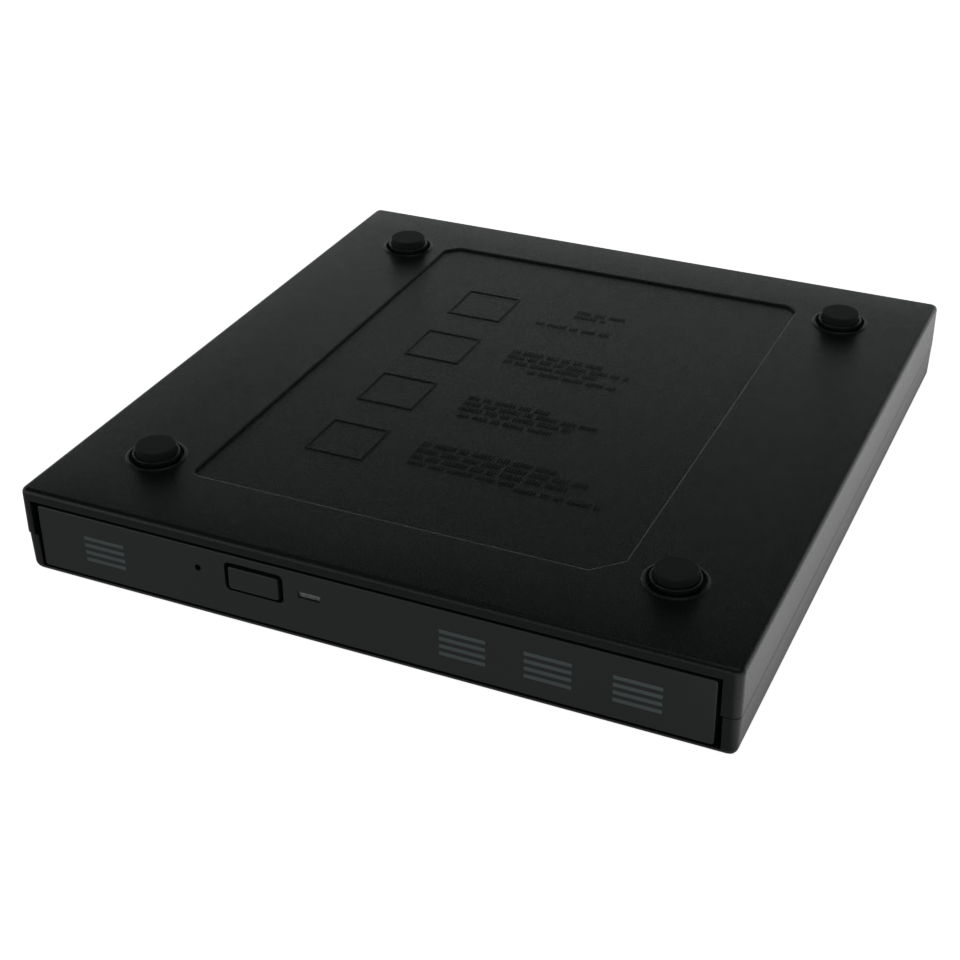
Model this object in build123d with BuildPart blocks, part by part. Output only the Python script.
from build123d import *
import math
import os

# External slim optical drive in its natural position: feet down, bezel at -Y,
# origin under the middle of the bounding box, millimetres.
# The sections run from the enclosure inwards: enclosure, bridge board, fixed parts
# of the drive, rails, tray, traverse unit. x, y and z in a name are places on those
# axes (0 the low side, 1 the high side), r a radius, h a height and t a thickness.

os.makedirs("parts", exist_ok=True)

# ================= shared dimensions =================
overlap = 0.2           # features reach this far into the body they join

# ---- enclosure ----
case_w = 135.6          # overall width
case_d = 142.0          # overall depth
foot_h = 2.4            # feet stand this far below the underside
case_top = 20.0         # top of the cover
part_z = 11.7           # parting line of the two shells
part_gap = 0.12
wall = 1.8
floor_t = 1.5
lid_t = 1.5
corner_r = 1.5          # vertical corners
half_w = case_w / 2
half_d = case_d / 2
in_x = half_w - wall    # inner face of the side walls
in_y = half_d - wall
floor_top = foot_h + floor_t
lid_under = case_top - lid_t

foot_pts = [(-50.1, -51.3), (51.3, -51.1), (-50.5, 53.8), (50.8, 53.2)]
foot_r = 3.8

# tongue on the bottom shell and the rebate for it in the cover
tongue_t = 0.75
tongue_h = 1.0          # above the parting line
tongue_front = 1.0      # it starts this far behind the inside of the front wall

# snaps on the side walls
snap_ys = (-45, 0, 45)
hook_z = 8.5
hook_half = 3.5         # half the length of a hook

# front opening, slightly different in the two shells
open_z0, open_z1 = 4.55, 18.5
lower_open = (-64.6, 65.65)
upper_open = (-65.0, 64.95)
open_cut = wall + 1.1   # from 1 mm ahead of the front wall to 0.1 mm behind it

# ---- slim drive module ----
pan_z = 5.45            # underside of the chassis pan
sheet = 0.6
pan_top = pan_z + sheet
chas_x = 63.4           # outside of the chassis sides
chas_t = 0.5
chas_y0, chas_y1 = -66.2, 59.7
lid_z0, lid_z1 = 17.35, 17.95
lug_x, lug_y = 56, 62.5
lug_pts = [(-lug_x, lug_y), (lug_x, lug_y)]
side_screw_pts = [(-45, 14.8), (45, 14.8)]   # y, z on both sides of the drive
side_hole_r = 0.75

# bridge board behind the drive
bridge_z, bridge_t = 5.8, 1.2
bridge_top = bridge_z + bridge_t
bridge_pts = [(-45, 65), (20.6, 65)]

# rails: runners on the tray slide in the rails, and the rails in the guides
slide_gap = 0.05
guide_x0, guide_x1 = 60.6, chas_x - chas_t
guide_z1 = 12.1
rail_x0, rail_x1 = 60.05, 62.0
rail_z0, rail_z1 = 7.35, 10.85
run_x1 = 61.3
run_z0, run_z1 = 8.1, 10.1

# tray
deck_z0, deck_z1 = 12.3, 16.5
disc_y = -4.2           # disc centre
frame_x0, frame_x1 = 57.9, 59.2
plate_z0, plate_z1 = 6.45, 6.95
frame_z0 = plate_z1
skirt_h = deck_z0 - frame_z0 + overlap
board_z, board_t = 7.6, 0.8
board_top = board_z + board_t

# catch pin, latch lever, solenoid and ejector
pin_x, pin_y, pin_r = 52.5, -50.0, 0.8
pivot_x, pivot_y = 49.5, -60.5
lever_turn = -12.0      # degrees about Z
solenoid_x, solenoid_z = 37.7, 8.9
ejector_x, ejector_z = -49, 9.4

# eject switch and lamp, x and z on the front
switch_x, switch_z = 19.6, 9.8
lamp_x, lamp_z = 8.75, 9.93

# fixings of the plate under the tray:
# screw x, screw y, post radius, recess y, recess radius, head y, head radius
plate_fixings = [
    (-54.0, -61.0, 2.4, -61.0, 1.5, -61.0, 1.40),
    (43.0, -63.6, 1.6, -63.0, 1.5, -63.1, 1.35),
    (-54.0, 51.0, 2.4, 51.0, 1.5, 51.0, 1.40),
    (48.4, 51.0, 2.0, 51.0, 1.5, 51.0, 1.40),
]
plate_pts = [(row[0], row[1]) for row in plate_fixings]

# traverse unit, in its own axes (see trav)
rod_ys = (-15.0, 17.0)
rod_z = 8.9
feed_y, feed_z = -20.5, 9.55            # axis of the feed motor and lead screw
trav_z0, trav_z1 = 10.4, 11.2           # traverse plate
damper_pts = [(-12.5, 19.5), (54, 22.3), (-12.5, -14)]
spindle_pts = [(-13.2, 5), (-13.2, -5.5)]
spindle_z, spindle_t = 7.1, 0.8
spindle_top = spindle_z + spindle_t
lens_x = 22


# ================= helpers =================
def at_x(x):
    """Plane across X: sketch y, z; extrudes towards +X."""
    return Plane.YZ.offset(x)


def at_y(y):
    """Plane across Y: sketch x, z; extrudes towards -Y, the front."""
    return Plane.XZ.offset(-y)


def at_z(z):
    return Plane.XY.offset(z)


def turned(x, y, z, degrees):
    """Level plane whose own x axis is turned about Z."""
    angle = math.radians(degrees)
    return Plane(origin=(x, y, z), x_dir=(math.cos(angle), math.sin(angle), 0), z_dir=(0, 0, 1))


def trav(z, turn=0):
    """Level plane at the disc centre; unturned, its x runs to the front left
    and its y to the front right."""
    return turned(0, disc_y, z, 225 + turn)


def trav_front(x):
    """Plane across the sled travel: sketch traverse y, z; extrudes along traverse x."""
    base = trav(0)
    origin = base.from_local_coords(Vector(x, 0, 0))
    return Plane(origin=origin, x_dir=base.y_dir, z_dir=base.x_dir)


def rect(x0, x1, y0, y1, mode=Mode.ADD):
    with Locations(((x0 + x1) / 2, (y0 + y1) / 2)):
        Rectangle(abs(x1 - x0), abs(y1 - y0), mode=mode)


def twin_rects(x0, x1, y0, y1):
    """A rectangle and its mirror image on the other side."""
    rect(x0, x1, y0, y1)
    rect(-x1, -x0, y0, y1)


def rounded(x, y, width, height, radius, mode=Mode.ADD):
    with Locations((x, y)):
        RectangleRounded(width, height, radius, mode=mode)


def disc(x, y, radius, mode=Mode.ADD):
    with Locations((x, y)):
        Circle(radius, mode=mode)


def discs(centres, radius, mode=Mode.ADD):
    for x, y in centres:
        disc(x, y, radius, mode)


def crosses(centres, half_length=1.1, half_width=0.2):
    """Cross recesses for screw heads."""
    for x, y in centres:
        rect(x - half_length, x + half_length, y - half_width, y + half_width)
        rect(x - half_width, x + half_width, y - half_length, y + half_length)


def circles_at(piece, z):
    circles = piece.edges().filter_by(GeomType.CIRCLE)
    return circles.filter_by(lambda e: abs(e.center().Z - z) < 0.01)


def blocks(plane, amount, *spans):
    """A whole piece of plain blocks; each span is x0, x1, y0, y1 on the plane."""
    with BuildPart() as piece:
        with BuildSketch(plane):
            for span in spans:
                rect(*span)
        extrude(amount=amount)
    return piece


def save(piece, name):
    piece.part.label = name
    export_step(piece.part, "parts/" + name + ".step")


# ================= enclosure =================
under_r = 1.0           # underside edges
rest_ys = (-35, 0, 35)  # ribs the drive rests on
rest_x = 60
pilot_r = 0.86
board_boss_r, lug_boss_r = 2.4, 2.6

# recessed field in the underside
field_x0, field_x1 = -40.7, 42.1
field_y0, field_y1 = -54.2, 57.3
field_depth = 0.35
field_outline = [
    (field_x0 + 5, field_y0),
    (field_x1, field_y0),
    (field_x1, field_y1 - 2.6),
    (field_x1 - 2.6, field_y1),
    (field_x0 + 2.1, field_y1),
    (field_x0, field_y1 - 2.3),
    (field_x0, field_y0 + 5),
]

# foot wells
well_r = 5.65
bead_h = 0.2            # low bead round each moat
bead_w = 0.5
collar_r = 4.4
collar_h = 0.95         # the collar round each foot stands this far out
bead_z = foot_h - bead_h
collar_z = foot_h - collar_h

with BuildPart() as bottom_shell:
    with BuildSketch(at_z(foot_h)):
        Rectangle(case_w, case_d)
    extrude(amount=part_z - part_gap / 2 - foot_h)
    fillet(bottom_shell.edges().filter_by(Axis.Z), corner_r)
    fillet(bottom_shell.faces().sort_by(Axis.Z)[0].edges(), under_r)
    # cavity
    with BuildSketch(at_z(floor_top)):
        Rectangle(2 * in_x, 2 * in_y)
    extrude(amount=case_top, mode=Mode.SUBTRACT)
    # tongue that registers the cover, left, right and back
    with BuildSketch(at_z(part_z - 0.5)):
        rect(-in_x - tongue_t, in_x + tongue_t, -in_y + tongue_front, in_y + tongue_t)
        rect(-in_x, in_x, -in_y, in_y, Mode.SUBTRACT)
    extrude(amount=tongue_h + 0.5)
    # bezel opening
    with BuildSketch(at_y(-half_d - 1)):
        rect(*lower_open, open_z0, 16)
    extrude(amount=-open_cut, mode=Mode.SUBTRACT)
    # drive rests: wide ribs and pads over the feet, then narrow ribs up to the pan
    with BuildSketch(at_z(floor_top - overlap)):
        for y in rest_ys:
            rect(-rest_x, rest_x, y - 0.8, y + 0.8)
        discs(foot_pts, 6.4)
    extrude(amount=pan_z - floor_top + overlap - 0.25)
    with BuildSketch(at_z(floor_top)):
        for y in rest_ys:
            rect(-rest_x, rest_x, y - 0.4, y + 0.4)
    extrude(amount=pan_z - floor_top)
    # bosses for the drive lugs and for the bridge board
    with BuildSketch(at_z(floor_top - overlap)):
        discs(lug_pts, lug_boss_r)
    extrude(amount=pan_z - floor_top + overlap)
    with BuildSketch(at_z(floor_top - overlap)):
        discs(bridge_pts, board_boss_r)
    extrude(amount=bridge_z - floor_top + overlap)
    with BuildSketch(at_z(floor_top - 0.4)):
        discs(lug_pts + bridge_pts, pilot_r)
    extrude(amount=4, mode=Mode.SUBTRACT)
    # snap ledges on the side walls
    with BuildSketch(at_z(9.4)):
        for y in snap_ys:
            twin_rects(in_x - 0.5, in_x + overlap, y - 4, y + 4)
    extrude(amount=0.9)
    # recessed field: one rounder corner at the front right, the others cut off
    with BuildSketch(at_z(foot_h - 0.1)) as field:
        with BuildLine():
            Polyline(*field_outline, close=True)
        make_face()
        fillet(
            field.vertices().filter_by(lambda v: v.X > field_x1 - 1 and v.Y < field_y0 + 1),
            2.0,
        )
        fillet(
            field.vertices().filter_by(lambda v: v.Y > field_y1 - 3 or v.X < field_x0 + 6),
            0.8,
        )
    extrude(amount=field_depth + 0.1, mode=Mode.SUBTRACT)
    # foot wells: a low bead, a moat inside it, and a pocketed collar that holds the foot
    with BuildSketch(at_z(bead_z)):
        discs(foot_pts, well_r)
    extrude(amount=1.0)
    fillet(circles_at(bottom_shell, bead_z), 0.15)
    with BuildSketch(at_z(foot_h - 0.5)):
        discs(foot_pts, well_r - bead_w)
    extrude(amount=1.1, mode=Mode.SUBTRACT)
    with BuildSketch(at_z(collar_z)):
        discs(foot_pts, collar_r)
    extrude(amount=collar_h + 0.8)
    fillet(circles_at(bottom_shell, collar_z), 0.12)
    with BuildSketch(at_z(foot_h - 1.2)):
        discs(foot_pts, foot_r + 0.15)
    extrude(amount=3.0, mode=Mode.SUBTRACT)
    # socket window in the back wall
    with BuildSketch(at_y(half_d + 1)):
        rect(-34.2, -25.8, 6.75, 11.15)
    extrude(amount=wall + 1.2, mode=Mode.SUBTRACT)
save(bottom_shell, "bottom_shell")

top_r = 2.0             # top edges
cover_step = 0.15       # the cover is this much smaller all round at the parting line
cover_draft = 2.0       # degrees its sides lean in
cover_shift = -0.15     # the cover sits flush on the left-hand wall and at the front
cover_z0 = part_z + part_gap / 2
rebate_x = in_x + tongue_t + part_gap
rebate_y = in_y + tongue_t + part_gap
pad_pts = [(-54, -48), (-54, 48), (54, -48), (54, 48)]
pad_root = 0.3          # pads and hooks reach this far into the lid

with BuildPart() as top_cover:
    with BuildSketch(at_z(cover_z0)) as cover_outline:
        with Locations((cover_shift, cover_shift)):
            Rectangle(case_w - 2 * cover_step, case_d - 2 * cover_step)
        fillet(cover_outline.vertices(), corner_r)
    extrude(amount=case_top - cover_z0, taper=cover_draft)
    fillet(top_cover.faces().sort_by(Axis.Z)[-1].edges(), top_r)
    with BuildSketch(at_z(part_z)):
        Rectangle(2 * in_x, 2 * in_y)
    extrude(amount=lid_under - part_z, mode=Mode.SUBTRACT)
    # rebate over the tongue
    with BuildSketch(at_z(part_z)):
        rect(-rebate_x, rebate_x, -in_y + tongue_front - 0.1, rebate_y)
    extrude(amount=tongue_h + 0.15, mode=Mode.SUBTRACT)
    # bezel opening
    with BuildSketch(at_y(-half_d - 1)):
        rect(*upper_open, part_z - 1, open_z1)
    extrude(amount=-open_cut, mode=Mode.SUBTRACT)
    # pads that hold the drive down
    with BuildSketch(at_z(lid_z1)):
        discs(pad_pts, 4)
    extrude(amount=lid_under - lid_z1 + pad_root)
    # snap hooks: arms, then barbs
    with BuildSketch(at_z(hook_z)):
        for y in snap_ys:
            twin_rects(64.7, 65.4, y - hook_half, y + hook_half)
    extrude(amount=lid_under - hook_z + pad_root)
    with BuildSketch(at_z(hook_z)):
        for y in snap_ys:
            twin_rects(65.3, 65.85, y - hook_half, y + hook_half)
    extrude(amount=0.85)
save(top_cover, "top_cover")

with BuildPart() as rubber_feet:
    with BuildSketch(Plane.XY):
        discs(foot_pts, foot_r)
    extrude(amount=4.2)
    fillet(rubber_feet.faces().filter_by(Axis.Z).group_by(Axis.Z)[0].edges(), 0.22)
save(rubber_feet, "rubber_feet")


# ================= bridge board and case screws =================
def case_screws(centres, tip_z, seat_z):
    """Screws into the bottom shell with their heads on seat_z."""
    with BuildPart() as screws:
        with BuildSketch(at_z(tip_z)):
            discs(centres, 0.84)
        extrude(amount=seat_z - tip_z)
        with BuildSketch(at_z(seat_z)):
            discs(centres, 1.9)
        extrude(amount=1.1)
        with BuildSketch(at_z(seat_z + 0.6)):
            crosses(centres)
        extrude(amount=1, mode=Mode.SUBTRACT)
    return screws


save(case_screws(bridge_pts, 4.2, bridge_top), "bridge_screws")
save(case_screws(lug_pts, 3.9, pan_top), "drive_screws")

with BuildPart() as bridge_pcb:
    with BuildSketch(at_z(bridge_z)):
        rect(-51, 24, 60.6, 68.9)
        discs(bridge_pts, 1.15, Mode.SUBTRACT)
    extrude(amount=bridge_t)
save(bridge_pcb, "bridge_pcb")

bridge_controller = blocks(at_z(bridge_top), 0.9, (-23, -17, 62.5, 68.5))
save(bridge_controller, "bridge_controller")

bridge_components = blocks(
    at_z(bridge_top), 1.0,
    (-40.6, -37.4, 61.4, 66.4),
    (-12, -10.4, 65, 66.2),
    (-9, -7.4, 65, 66.2),
    (-6, -4.4, 65, 66.2),
    (3, 7.5, 64.4, 68.3),
    (10.5, 13.8, 64.4, 66.4),
)
save(bridge_components, "bridge_components")

# USB socket at the back: shell outlines as x, z
usb_y1 = 70.9
usb_outer = [
    (-33.85, 8.9), (-33.85, 10.95), (-26.15, 10.95), (-26.15, 8.9),
    (-27.2, 7.7), (-27.2, 7.0), (-32.8, 7.0), (-32.8, 7.7),
]
usb_inner = [
    (-33.55, 9.0), (-33.55, 10.65), (-26.45, 10.65), (-26.45, 9.0),
    (-27.5, 7.8), (-27.5, 7.3), (-32.5, 7.3), (-32.5, 7.8),
]
usb_depth, usb_end_t = 9.0, 0.3

with BuildPart() as usb_shell:
    with BuildSketch(at_y(usb_y1)):
        with BuildLine():
            Polyline(*usb_outer, close=True)
        make_face()
    extrude(amount=usb_depth)
    with BuildSketch(at_y(usb_y1)):
        with BuildLine():
            Polyline(*usb_inner, close=True)
        make_face()
    extrude(amount=usb_depth - usb_end_t, mode=Mode.SUBTRACT)
save(usb_shell, "usb_shell")

# body at the inner end of the socket, with a tongue towards the back
with BuildPart() as usb_insert:
    with BuildSketch(at_y(64.6)):
        rect(-33.0, -27.0, 9.1, 10.55)
        rect(-32.3, -27.7, 7.4, 9.2)
    extrude(amount=2.3)
    with BuildSketch(at_y(70.0)):
        rect(-32.0, -28.0, 9.3, 10.1)
    extrude(amount=5.5)
save(usb_insert, "usb_insert")

# connector pair between drive and bridge board
connector_x = (-14, 18)

with BuildPart() as bridge_connector:
    with BuildSketch(at_z(bridge_top)):
        rect(*connector_x, 60.2, 63.4)
    extrude(amount=3.6)
    with BuildSketch(at_y(60.1)):
        rect(-12.6, 16.6, 8.2, 9.6)
    extrude(amount=-2.2, mode=Mode.SUBTRACT)
save(bridge_connector, "bridge_connector")

link_z, link_t = 6.6, 0.8   # interface board in the drive

with BuildPart() as drive_connector:
    with BuildSketch(at_z(link_z + link_t)):
        rect(*connector_x, 53.0, 60.1)
    extrude(amount=3.4)
    with BuildSketch(at_y(60.0)):
        rect(-12.4, 16.4, 8.35, 9.45)
    extrude(amount=-1.9)
save(drive_connector, "drive_connector")

# ================= drive, fixed parts =================
with BuildPart() as interface_pcb:
    with BuildSketch(at_z(link_z)):
        rect(-18, 22, 48.6, 59.0)
    extrude(amount=link_t)
    # spacers down to the pan
    with BuildSketch(at_z(pan_top)):
        discs([(-15.5, 50.6), (19.5, 50.6)], 1.4)
    extrude(amount=link_z - pan_top)
save(interface_pcb, "interface_pcb")

with BuildPart() as chassis:
    # pan with its lugs and holes
    with BuildSketch(at_z(pan_z)):
        rect(-chas_x, chas_x, chas_y0, chas_y1)
        twin_rects(lug_x - 3, lug_x + 3, chas_y1 - 0.5, 65)
        discs(lug_pts, 1.1, Mode.SUBTRACT)
        disc(-30, 25, 9, Mode.SUBTRACT)
        disc(34, -18, 7, Mode.SUBTRACT)
        rect(-40, -20, -45, -41, Mode.SUBTRACT)
    extrude(amount=sheet)
    # sides and back
    with BuildSketch(at_z(pan_z)):
        twin_rects(chas_x - chas_t, chas_x, chas_y0, chas_y1)
        rect(-chas_x, chas_x, chas_y1 - chas_t, chas_y1)
    extrude(amount=17.3 - pan_z)
    # connector opening
    with BuildSketch(at_y(chas_y1 + 0.5)):
        rect(-15, 19, 6.6, 11.8)
    extrude(amount=1.5, mode=Mode.SUBTRACT)
    with BuildSketch(at_x(-chas_x - 1)):
        discs(side_screw_pts, side_hole_r)
    extrude(amount=2 * chas_x + 2, mode=Mode.SUBTRACT)
save(chassis, "chassis")

cover_x = 63.95         # outside of the drive cover's skirts
skirt_z0 = 13.2

with BuildPart() as drive_cover:
    with BuildSketch(at_z(lid_z0)):
        rect(-cover_x, cover_x, chas_y0, chas_y1)
    extrude(amount=lid_z1 - lid_z0)
    with BuildSketch(at_z(skirt_z0)):
        twin_rects(cover_x - 0.5, cover_x, chas_y0, chas_y1)
    extrude(amount=lid_z1 - skirt_z0)
    # shallow ring in the top
    with BuildSketch(at_z(lid_z1 - 0.2)):
        disc(0, disc_y, 46)
        disc(0, disc_y, 16, Mode.SUBTRACT)
    extrude(amount=1, mode=Mode.SUBTRACT)
    with BuildSketch(at_x(-65)):
        discs(side_screw_pts, side_hole_r)
    extrude(amount=130, mode=Mode.SUBTRACT)
save(drive_cover, "drive_cover")

shank_len = 1.4

with BuildPart() as cover_screws:
    for side in (1, -1):
        with BuildSketch(at_x(side * (cover_x - shank_len))):
            discs(side_screw_pts, 0.7)
        extrude(amount=side * shank_len)
        with BuildSketch(at_x(side * cover_x)):
            discs(side_screw_pts, 1.5)
        extrude(amount=side * 0.4)
save(cover_screws, "cover_screws")

with BuildPart() as catch_pin:
    with BuildSketch(at_z(pan_top)):
        disc(pin_x, pin_y, pin_r)
    extrude(amount=3.55)
save(catch_pin, "catch_pin")

# folded flex cable from the interface board to the main board
flex_x = (2, 14)
flex_runs = [           # z, height, y0, y1
    (6.08, 0.10, -12.0, 53.0),
    (6.08, 0.34, -12.1, -12.0),
    (6.32, 0.10, -12.0, 40.7),
    (6.32, 1.08, 40.6, 40.7),
    (7.30, 0.10, 40.6, 41.5),
    (6.08, 0.52, 52.9, 53.0),
]

with BuildPart() as flex_cable:
    for z, height, y0, y1 in flex_runs:
        with BuildSketch(at_z(z)):
            rect(*flex_x, y0, y1)
        extrude(amount=height)
save(flex_cable, "flex_cable")


# ================= guides and half-speed rails =================
def grooved_bar(side, x_span, z_span, slider_x1, slider_z, y0, length):
    """Bar along Y, grooved on its inner face for a slider; side is 1 right, -1 left."""
    groove_z = (slider_z[0] - slide_gap, slider_z[1] + slide_gap)
    with BuildPart() as bar:
        with BuildSketch(at_y(y0)):
            rect(side * x_span[0], side * x_span[1], *z_span)
            rect(
                side * (x_span[0] - 1), side * (slider_x1 + slide_gap), *groove_z,
                mode=Mode.SUBTRACT,
            )
        extrude(amount=-length)
    return bar


for side, side_name in ((1, "right"), (-1, "left")):
    guide = grooved_bar(
        side, (guide_x0, guide_x1), (pan_top, guide_z1), rail_x1, (rail_z0, rail_z1),
        y0=-64, length=114,
    )
    save(guide, "guide_" + side_name)
    rail = grooved_bar(
        side, (rail_x0, rail_x1), (rail_z0, rail_z1), run_x1, (run_z0, run_z1),
        y0=-62.5, length=110,
    )
    save(rail, "rail_" + side_name)

# ================= tray =================
deck_x = 62.3
deck_floor = 13.7
disc_r = 60.5           # disc recess
skirt_outer = [
    (-frame_x1, -66.2), (frame_x1, -66.2), (frame_x1, 56), (26.3, 56),
    (26.3, 48), (-22.3, 48), (-22.3, 56), (-frame_x1, 56),
]
skirt_inner = [
    (-frame_x0, -64.9), (frame_x0, -64.9), (frame_x0, 54.7), (27.6, 54.7),
    (27.6, 46.7), (-23.6, 46.7), (-23.6, 54.7), (-frame_x0, 54.7),
]
stud_z, stud_r = 7.5, 0.95
shoulder_z, shoulder_r = 9.45, 2.0
board_posts = [(50, -41.5), (33, -41.5), (48, 40), (-14, 43.8)]

with BuildPart() as tray:
    with BuildSketch(at_z(deck_z0)):
        rect(-deck_x, deck_x, -66.2, 58.2)
    extrude(amount=deck_z1 - deck_z0)
    with BuildSketch(at_z(deck_floor)):
        disc(0, disc_y, disc_r)
    extrude(amount=5, mode=Mode.SUBTRACT)
    # skirt under the deck, stepped forward over the interface board
    with BuildSketch(at_z(frame_z0)):
        with BuildLine():
            Polyline(*skirt_outer, close=True)
        make_face()
        with BuildLine():
            Polyline(*skirt_inner, close=True)
        make_face(mode=Mode.SUBTRACT)
    extrude(amount=skirt_h)
    # runners
    with BuildSketch(at_y(-60)):
        twin_rects(frame_x0, run_x1, run_z0, run_z1)
    extrude(amount=-100)
    # window behind the button, the lamp and the release hole
    with BuildSketch(at_y(-67)):
        rect(5, 34, 7.0, 12.2)
    extrude(amount=-2.6, mode=Mode.SUBTRACT)
    # screw posts for the underside plate
    with BuildSketch(at_z(frame_z0)):
        for x, y, post_r, *_ in plate_fixings:
            disc(x, y, post_r)
    extrude(amount=skirt_h)
    with BuildSketch(at_z(frame_z0 - 0.1)):
        discs(plate_pts, 0.72)
    extrude(amount=3.2, mode=Mode.SUBTRACT)
    # stud and shoulder for the latch lever
    with BuildSketch(at_z(stud_z)):
        disc(pivot_x, pivot_y, stud_r)
    extrude(amount=deck_z0 - stud_z + overlap)
    with BuildSketch(at_z(shoulder_z)):
        disc(pivot_x, pivot_y, shoulder_r)
    extrude(amount=deck_z0 - shoulder_z + overlap)
    # gate for the catch pin, in the back of the skirt
    with BuildSketch(at_y(57)):
        rect(pin_x - 1.3, pin_x + 1.4, 5, 9.9)
    extrude(amount=3, mode=Mode.SUBTRACT)
    # block ahead of the ejector spring, and the rod's hole in the back of the skirt
    with BuildSketch(at_z(frame_z0)):
        rect(ejector_x - 3.2, ejector_x + 3.2, 26.6, 28.6)
    extrude(amount=skirt_h)
    with BuildSketch(at_y(58)):
        disc(ejector_x, ejector_z, 1.65)
    extrude(amount=4, mode=Mode.SUBTRACT)
    # opening over the traverse unit
    with BuildSketch(trav(deck_z0 - 0.5)):
        disc(0, 0, 15.6)
        rect(0, 61.5, -13, 13)
    extrude(amount=3, mode=Mode.SUBTRACT)
    with BuildSketch(at_z(board_top)):
        discs(board_posts, 1.5)
    extrude(amount=deck_z0 - board_top + overlap)
    # damper screw holes in the deck
    with BuildSketch(trav(deck_z0 - 0.1)):
        discs(damper_pts, 0.92)
    extrude(amount=0.95, mode=Mode.SUBTRACT)
save(tray, "tray")

plate_outline = [
    (-57.6, -64.6), (50.9, -64.6), (50.9, 54.4), (28.2, 54.4),
    (28.2, 46.4), (-24.2, 46.4), (-24.2, 54.4), (-57.6, 54.4),
]
recess_h = 0.3

with BuildPart() as tray_plate:
    with BuildSketch(at_z(plate_z0)):
        with BuildLine():
            Polyline(*plate_outline, close=True)
        make_face()
        # flex cable opening, then the other holes and slots
        rect(0.8, 15.2, 38.6, 46.0, Mode.SUBTRACT)
        disc(0, disc_y, 8.5, Mode.SUBTRACT)
        with Locations((-36, 20), (-36, 32), (-36, 8)):
            SlotOverall(18, 3.2, mode=Mode.SUBTRACT)
        with Locations((38, -26), (38, -33)):
            SlotOverall(14, 2.6, mode=Mode.SUBTRACT)
        rounded(40, 14, 13, 13, 1.5, Mode.SUBTRACT)
        disc(pivot_x, pivot_y, 1.6, Mode.SUBTRACT)
    extrude(amount=plate_z1 - plate_z0)
    # head recesses and screw holes
    with BuildSketch(at_z(plate_z0)):
        for x, _, _, recess_y, recess_r, *_ in plate_fixings:
            disc(x, recess_y, recess_r)
    extrude(amount=recess_h, mode=Mode.SUBTRACT)
    with BuildSketch(at_z(plate_z0)):
        discs(plate_pts, 0.76)
    extrude(amount=2, mode=Mode.SUBTRACT)
save(tray_plate, "tray_plate")

with BuildPart() as plate_screws:
    with BuildSketch(at_z(plate_z0 + 0.02)):
        for x, *_, head_y, head_r in plate_fixings:
            disc(x, head_y, head_r)
    extrude(amount=recess_h - 0.02)
    with BuildSketch(at_z(plate_z0 + recess_h)):
        discs(plate_pts, 0.7)
    extrude(amount=3.0)
save(plate_screws, "plate_screws")

# ---- bezel, button and lamp ----
bezel_x, bezel_w = 0.325, 128.25        # centre and width
bezel_x0, bezel_x1 = bezel_x - bezel_w / 2, bezel_x + bezel_w / 2
bezel_y0, bezel_y1 = -70.7, -66.4
bezel_z0, bezel_z1 = 5.4, 18.15
bezel_t = 1.8
bezel_side_t, bezel_edge_t = 1.2, 1.0   # rim at the sides, and at top and bottom

with BuildPart() as bezel:
    with BuildSketch(at_y(bezel_y0)):
        rect(bezel_x0, bezel_x1, bezel_z0, bezel_z1)
    extrude(amount=-(bezel_y1 - bezel_y0))
    fillet(bezel.edges().filter_by(Axis.Y), 0.6)
    fillet(bezel.faces().sort_by(Axis.Y)[0].edges(), 0.25)
    # hollow back
    with BuildSketch(at_y(bezel_y0 + bezel_t)):
        rect(
            bezel_x0 + bezel_side_t, bezel_x1 - bezel_side_t,
            bezel_z0 + bezel_edge_t, bezel_z1 - bezel_edge_t,
        )
    extrude(amount=-5, mode=Mode.SUBTRACT)
    # button opening, lamp slot and release hole
    with BuildSketch(at_y(bezel_y0 - 1)):
        rounded(switch_x, 9.9, 11.6, 5.8, 1.0)
        rounded(lamp_x, lamp_z, 4.4, 1.35, 0.25)
        disc(30.9, 9.8, 0.65)
    extrude(amount=-4, mode=Mode.SUBTRACT)
save(bezel, "bezel")

with BuildPart() as eject_button:
    # cap
    with BuildSketch(at_y(-71.0)):
        rounded(19.625, 9.975, 9.95, 4.55, 0.6)
    extrude(amount=-2.3)
    fillet(eject_button.faces().sort_by(Axis.Y)[0].edges(), 0.3)
    # flange behind the bezel, and the stem
    with BuildSketch(at_y(-68.75)):
        rect(12.9, 26.3, 6.8, 13.0)
    extrude(amount=-0.6)
    with BuildSketch(at_y(-68.3)):
        rect(18.4, 20.8, 8.9, 10.7)
    extrude(amount=-3.9)
save(eject_button, "eject_button")

with BuildPart() as switch_plunger:
    with BuildSketch(at_y(-64.4)):
        disc(switch_x, switch_z, 0.8)
    extrude(amount=-1.2)
save(switch_plunger, "switch_plunger")

with BuildPart() as eject_switch:
    with BuildSketch(at_y(-63.4)):
        rect(switch_x - 2.2, switch_x + 2.2, switch_z - 1.5, switch_z + 1.5)
    extrude(amount=-1.8)
    with BuildSketch(at_y(-63.5)):
        disc(switch_x, switch_z, 0.86)
    extrude(amount=-1.0, mode=Mode.SUBTRACT)
save(eject_switch, "eject_switch")

save(blocks(at_y(-61.6), -0.8, (5.5, 28, 7.2, 12.1)), "front_pcb")
save(blocks(at_y(-62.4), -0.8, (7.9, 9.6, 9.5, 10.3)), "status_led")

with BuildPart() as light_guide:
    with BuildSketch(at_y(-70.2)):
        rounded(lamp_x, lamp_z, 4.3, 1.25, 0.22)
    extrude(amount=-1.9)
    with BuildSketch(at_y(-68.7)):
        rect(7.4, 10.1, 9.4, 10.4)
    extrude(amount=-6.0)
save(light_guide, "light_guide")

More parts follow.
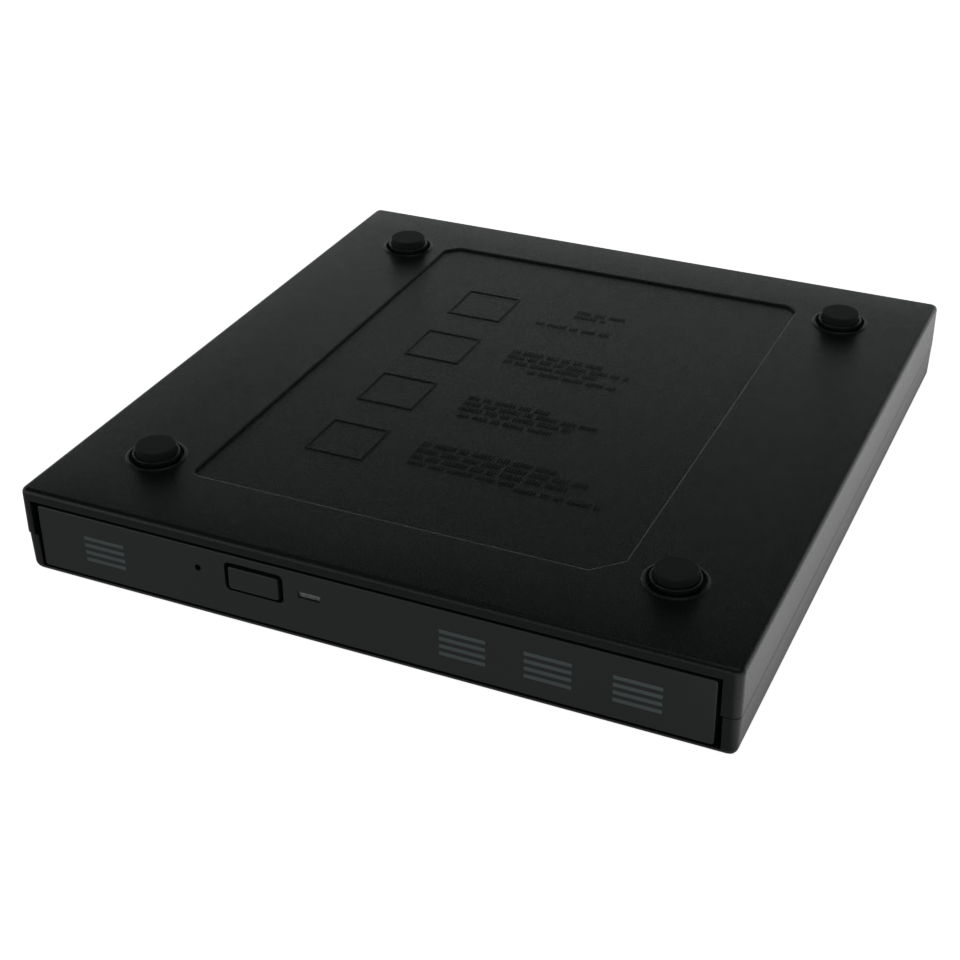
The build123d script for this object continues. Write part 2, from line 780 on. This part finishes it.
# ---- latch ----
lever_plane = turned(pivot_x, pivot_y, 8.3, lever_turn)
lever_t = 1.0
lever_end_x = -20.0     # free end of the long arm
lever_half_w = 0.9
hook_outline = [        # hooked arm, in the lever's own axes from the pivot
    (-1.2, 1.2), (-1.2, -1.6), (2.2, -1.6), (5.6, 2.6), (5.6, 13.2),
    (2.6, 13.2), (2.0, 11.95), (4.2, 11.6), (4.2, 4.0), (1.6, 1.2),
]

with BuildPart() as latch_lever:
    with BuildSketch(lever_plane):
        disc(0, 0, 2.3)
        with BuildLine():
            Polyline(*hook_outline, close=True)
        make_face()
        rect(lever_end_x, 0, -lever_half_w, lever_half_w)
        disc(0, 0, 1.0, Mode.SUBTRACT)
    extrude(amount=lever_t)
    # raised pad on the end of the long arm
    with BuildSketch(lever_plane.offset(lever_t - 0.1)):
        rect(lever_end_x, lever_end_x + 3, -lever_half_w, lever_half_w)
    extrude(amount=1.5)
save(latch_lever, "latch_lever")

with BuildPart() as solenoid:
    with BuildSketch(at_z(7.1)):
        rect(solenoid_x - 4.5, solenoid_x + 4.5, -55.2, -45.6)
    extrude(amount=5.1)
    with BuildSketch(at_y(-56)):
        disc(solenoid_x, solenoid_z, 1.1)
    extrude(amount=-8, mode=Mode.SUBTRACT)
save(solenoid, "solenoid")

plunger_y0 = -56.4

with BuildPart() as solenoid_plunger:
    with BuildSketch(at_y(plunger_y0)):
        disc(solenoid_x, solenoid_z, 1.04)
    extrude(amount=-7.5)
    with BuildSketch(at_y(plunger_y0)):
        disc(solenoid_x, solenoid_z, 1.45)
    extrude(amount=-0.6)
save(solenoid_plunger, "solenoid_plunger")

# ---- spring ejector at the back of the tray ----
ejector_steps = [       # back end y, radius, length: rod, collar, head
    (59.0, 1.6, 26.0),
    (41.5, 2.35, 1.5),
    (59.0, 2.2, 1.0),
]

with BuildPart() as ejector_rod:
    for y, radius, length in ejector_steps:
        with BuildSketch(at_y(y)):
            disc(ejector_x, ejector_z, radius)
        extrude(amount=length)
save(ejector_rod, "ejector_rod")

# the spring is a plain tube
with BuildPart() as ejector_spring:
    with BuildSketch(at_y(39.7)):
        disc(ejector_x, ejector_z, 2.3)
        disc(ejector_x, ejector_z, 1.75, Mode.SUBTRACT)
    extrude(amount=10.8)
save(ejector_spring, "ejector_spring")

# ---- main board under the tray ----
board_outline = [(50.8, -44), (50.8, 46), (-18, 46), (28, 0), (31, -15), (31, -44)]

with BuildPart() as main_pcb:
    with BuildSketch(at_z(board_z)):
        with BuildLine():
            Polyline(*board_outline, close=True)
        make_face()
    extrude(amount=board_t)
save(main_pcb, "main_pcb")

save(blocks(at_z(board_top), 1.4, (31, 45, 14, 28)), "main_controller")
save(blocks(at_z(board_top), 1.2, (36, 45, -12, -3)), "motor_driver")

board_components = blocks(
    at_z(board_top), 1.1,
    (34.0, 39.5, -30, -26),
    (42.0, 46.2, -32, -27),
    (35.0, 36.6, -20, -17),
    (38.0, 39.6, -20, -17),
    (41.0, 42.6, -20, -17),
    (20.5, 25.5, 24, 28),
    (18, 19.6, 32, 35),
    (13, 14.6, 32, 35),
    (22, 27, 36, 40),
    (36, 40, 34, 40),
)
save(board_components, "board_components")

# flex connector, under the board
save(blocks(at_z(7.0), board_z - 7.0, (1.0, 15.0, 41.6, 45.6)), "ffc_connector")

# ================= traverse unit =================
trav_outline = [
    (-16, -18.2), (61.0, -18.2), (64.0, -15.2), (64.0, 19.2),
    (60.0, 25.6), (46.0, 25.6), (44.0, 23.0), (-16, 23.0),
]
holder_z = 7.6
holder_xs = (62.4, -3.2)    # inner and outer ends of the rods
holder_t = 1.2
holder_half = 1.8

with BuildPart() as traverse_plate:
    with BuildSketch(trav(trav_z0)):
        with BuildLine():
            Polyline(*trav_outline, close=True)
        make_face()
        # spindle hole, sled window, edge notch for the feed bracket, damper holes
        disc(0, 0, 12.4, Mode.SUBTRACT)
        rect(6, 62.1, -12.2, 13.2, Mode.SUBTRACT)
        rect(-17.5, -4.9, -18.3, -17.7, Mode.SUBTRACT)
        discs(damper_pts, 1.95, Mode.SUBTRACT)
    extrude(amount=trav_z1 - trav_z0)
    # rod holders
    with BuildSketch(trav(holder_z)):
        for x in holder_xs:
            for y in rod_ys:
                rect(x, x + holder_t, y - holder_half, y + holder_half)
    extrude(amount=trav_z0 - holder_z + overlap)
    with BuildSketch(trav_front(-6)):
        for y in rod_ys:
            disc(y, rod_z, 1.02)
    extrude(amount=72, mode=Mode.SUBTRACT)
    # stand-offs for the spindle base
    with BuildSketch(trav(spindle_top)):
        discs(spindle_pts, 1.6)
        disc(0, 13.6, 1.0)
    extrude(amount=trav_z0 - spindle_top + overlap)
save(traverse_plate, "traverse_plate")

# grooved bushes; the groove takes the edge of the plate's holes
with BuildPart() as dampers:
    with BuildSketch(trav(9.7)):
        discs(damper_pts, 2.6)
    extrude(amount=2.5)
    with BuildSketch(trav(trav_z0)):
        discs(damper_pts, 3.2)
        discs(damper_pts, 1.9, Mode.SUBTRACT)
    extrude(amount=trav_z1 - trav_z0, mode=Mode.SUBTRACT)
    with BuildSketch(trav(9.5)):
        discs(damper_pts, 0.95)
    extrude(amount=4, mode=Mode.SUBTRACT)
save(dampers, "dampers")

with BuildPart() as damper_screws:
    with BuildSketch(trav(9.0)):
        discs(damper_pts, 2.1)
    extrude(amount=0.7)
    with BuildSketch(trav(9.6)):
        discs(damper_pts, 0.88)
    extrude(amount=3.4)
    with BuildSketch(trav(8.9)):
        crosses(damper_pts)
    extrude(amount=0.45, mode=Mode.SUBTRACT)
save(damper_screws, "damper_screws")

with BuildPart() as guide_rods:
    with BuildSketch(trav_front(-3.6)):
        for y in rod_ys:
            disc(y, rod_z, 1.0)
    extrude(amount=67.4)
save(guide_rods, "guide_rods")

# ---- spindle ----
with BuildPart() as spindle_base:
    with BuildSketch(trav(spindle_z)):
        disc(0, 0, 11.2)
        rect(-15.2, 0, -7.5, 7.0)
        rect(-1.2, 1.2, 0, 14.8)
        discs(spindle_pts, 0.9, Mode.SUBTRACT)
    extrude(amount=spindle_t)
    # bearing tube
    with BuildSketch(trav(spindle_top)):
        disc(0, 0, 3.0)
        disc(0, 0, 1.3, Mode.SUBTRACT)
    extrude(amount=3.6)
save(spindle_base, "spindle_base")

with BuildPart() as spindle_stator:
    with BuildSketch(trav(8.3)):
        disc(0, 0, 9.7)
        disc(0, 0, 3.0, Mode.SUBTRACT)
        with PolarLocations(7.6, 9):
            Rectangle(4.6, 1.5, mode=Mode.SUBTRACT)
    extrude(amount=3.0)
save(spindle_stator, "spindle_stator")

rotor_r = 11.0
ring_z = 14.2           # floor of the friction ring's groove

with BuildPart() as turntable:
    # rotor wall and roof, table, hub
    with BuildSketch(trav(8.2)):
        disc(0, 0, rotor_r)
        disc(0, 0, rotor_r - 0.8, Mode.SUBTRACT)
    extrude(amount=5.0)
    with BuildSketch(trav(12.0)):
        disc(0, 0, rotor_r)
    extrude(amount=1.5)
    with BuildSketch(trav(13.4)):
        disc(0, 0, 14.6)
    extrude(amount=1.0)
    with BuildSketch(trav(14.3)):
        disc(0, 0, 7.4)
    extrude(amount=2.1)
    chamfer(turntable.faces().sort_by(Axis.Z)[-1].edges(), 0.6)
    # shaft
    with BuildSketch(trav(8.0)):
        disc(0, 0, 1.25)
    extrude(amount=4.2)
    # three radial pockets for the claws
    with BuildSketch(trav(14.6)):
        with PolarLocations(6.2, 3):
            Rectangle(5.6, 3.5)
    extrude(amount=1.2, mode=Mode.SUBTRACT)
    # groove for the friction ring
    with BuildSketch(trav(ring_z)):
        disc(0, 0, 14.2)
        disc(0, 0, 12.0, Mode.SUBTRACT)
    extrude(amount=1, mode=Mode.SUBTRACT)
save(turntable, "turntable")

with BuildPart() as friction_ring:
    with BuildSketch(trav(ring_z)):
        disc(0, 0, 14.15)
        disc(0, 0, 12.05, Mode.SUBTRACT)
    extrude(amount=0.45)
save(friction_ring, "friction_ring")


def clamp_claw(turn):
    """Claw in the hub, its outer top edge chamfered."""
    tip_x = 8.0
    plane = trav(14.65, turn)
    with BuildPart() as claw:
        with BuildSketch(plane):
            rect(4.1, tip_x, -1.65, 1.65)
        extrude(amount=1.1)
        top_edges = claw.faces().sort_by(Axis.Z)[-1].edges()
        tip_edges = top_edges.filter_by(
            lambda e: abs(plane.to_local_coords(e.center()).X - tip_x) < 0.01
        )
        chamfer(tip_edges, 0.35)
    return claw


for letter, turn in (("a", 0), ("b", 120), ("c", 240)):
    save(clamp_claw(turn), "clamp_claw_" + letter)

# ---- feed drive ----
bracket_x0, bracket_x1 = -5.6, 57.0
bracket_y0 = -23.4
bracket_t = 0.6
bracket_z, bracket_h = 8.3, 2.5

with BuildPart() as feed_bracket:
    # long web, then the end plates at the motor and at the far end
    with BuildSketch(trav(bracket_z)):
        rect(bracket_x0, bracket_x1, bracket_y0, bracket_y0 + bracket_t)
    extrude(amount=bracket_h)
    with BuildSketch(trav(7.5)):
        rect(bracket_x0, bracket_x0 + bracket_t, bracket_y0, -18.3)
    extrude(amount=4.3)
    with BuildSketch(trav(bracket_z)):
        rect(bracket_x1 - bracket_t, bracket_x1, bracket_y0, -18.6)
    extrude(amount=bracket_h)
    # tab on the traverse plate
    with BuildSketch(trav(trav_z1)):
        rect(bracket_x0, 0.0, -18.4, -14.0)
    extrude(amount=bracket_t)
    with BuildSketch(trav_front(-7)):
        disc(feed_y, feed_z, 0.75)
    extrude(amount=66, mode=Mode.SUBTRACT)
save(feed_bracket, "feed_bracket")

motor_len = 11.4

with BuildPart() as feed_motor:
    with BuildSketch(trav_front(bracket_x0 - motor_len)):
        disc(feed_y, feed_z, 2.5)
    extrude(amount=motor_len)
    with BuildSketch(trav_front(-6.3)):
        disc(feed_y, feed_z, 0.75)
    extrude(amount=2, mode=Mode.SUBTRACT)
save(feed_motor, "feed_motor")

# screw and its thinner journals
with BuildPart() as lead_screw:
    with BuildSketch(trav_front(-4.8)):
        disc(feed_y, feed_z, 1.0)
    extrude(amount=61.0)
    with BuildSketch(trav_front(-6.2)):
        disc(feed_y, feed_z, 0.7)
    extrude(amount=63.1)
save(lead_screw, "lead_screw")

# ---- sled ----
sled_outline = [
    (3, -17.8), (24.5, -17.8), (27.5, -14.8), (27.5, 15.5), (24.5, 19.0), (3, 19.0),
]
bore_r = 1.05

with BuildPart() as sled:
    with BuildSketch(trav(7.3)):
        with BuildLine():
            Polyline(*sled_outline, close=True)
        make_face()
        disc(0, 0, 12.2, Mode.SUBTRACT)
    extrude(amount=2.8)
    # raised block with a pocket for the lens holder
    with BuildSketch(trav(9.9)):
        rect(14.4, 27.3, -10.6, 10.6)
    extrude(amount=2.0)
    with BuildSketch(trav(10.0)):
        rect(15.2, 26.6, -6.3, 6.3)
    extrude(amount=3, mode=Mode.SUBTRACT)
    # light path to the lens
    with BuildSketch(trav(8.0)):
        disc(lens_x, 0, 2.2)
    extrude(amount=3, mode=Mode.SUBTRACT)
    # rod bore and rod fork
    with BuildSketch(trav_front(0)):
        disc(rod_ys[0], rod_z, bore_r)
        rect(rod_ys[1] - 1.1, 20, rod_z - bore_r, rod_z + bore_r)
    extrude(amount=40, mode=Mode.SUBTRACT)
save(sled, "sled")

save(blocks(trav(8.0), 2.0, (12.0, 18.0, -19.42, -17.8)), "sled_nut")

holder_side = 3.8       # half the side of the lens holder

with BuildPart() as lens_holder:
    with BuildSketch(trav(10.6)):
        rect(lens_x - holder_side, lens_x + holder_side, -holder_side, holder_side)
    extrude(amount=1.7)
    fillet(lens_holder.edges().filter_by(Axis.Z), 0.6)
    with BuildSketch(trav(12.2)):
        disc(lens_x, 0, 2.9)
    extrude(amount=0.35)
    with BuildSketch(trav(10.5)):
        disc(lens_x, 0, 2.05)
    extrude(amount=3, mode=Mode.SUBTRACT)
save(lens_holder, "lens_holder")

with BuildPart() as objective_lens:
    with BuildSketch(trav(11.4)):
        disc(lens_x, 0, 2.0)
    extrude(amount=1.35)
    fillet(objective_lens.faces().sort_by(Axis.Z)[-1].edges(), 0.9)
save(objective_lens, "objective_lens")
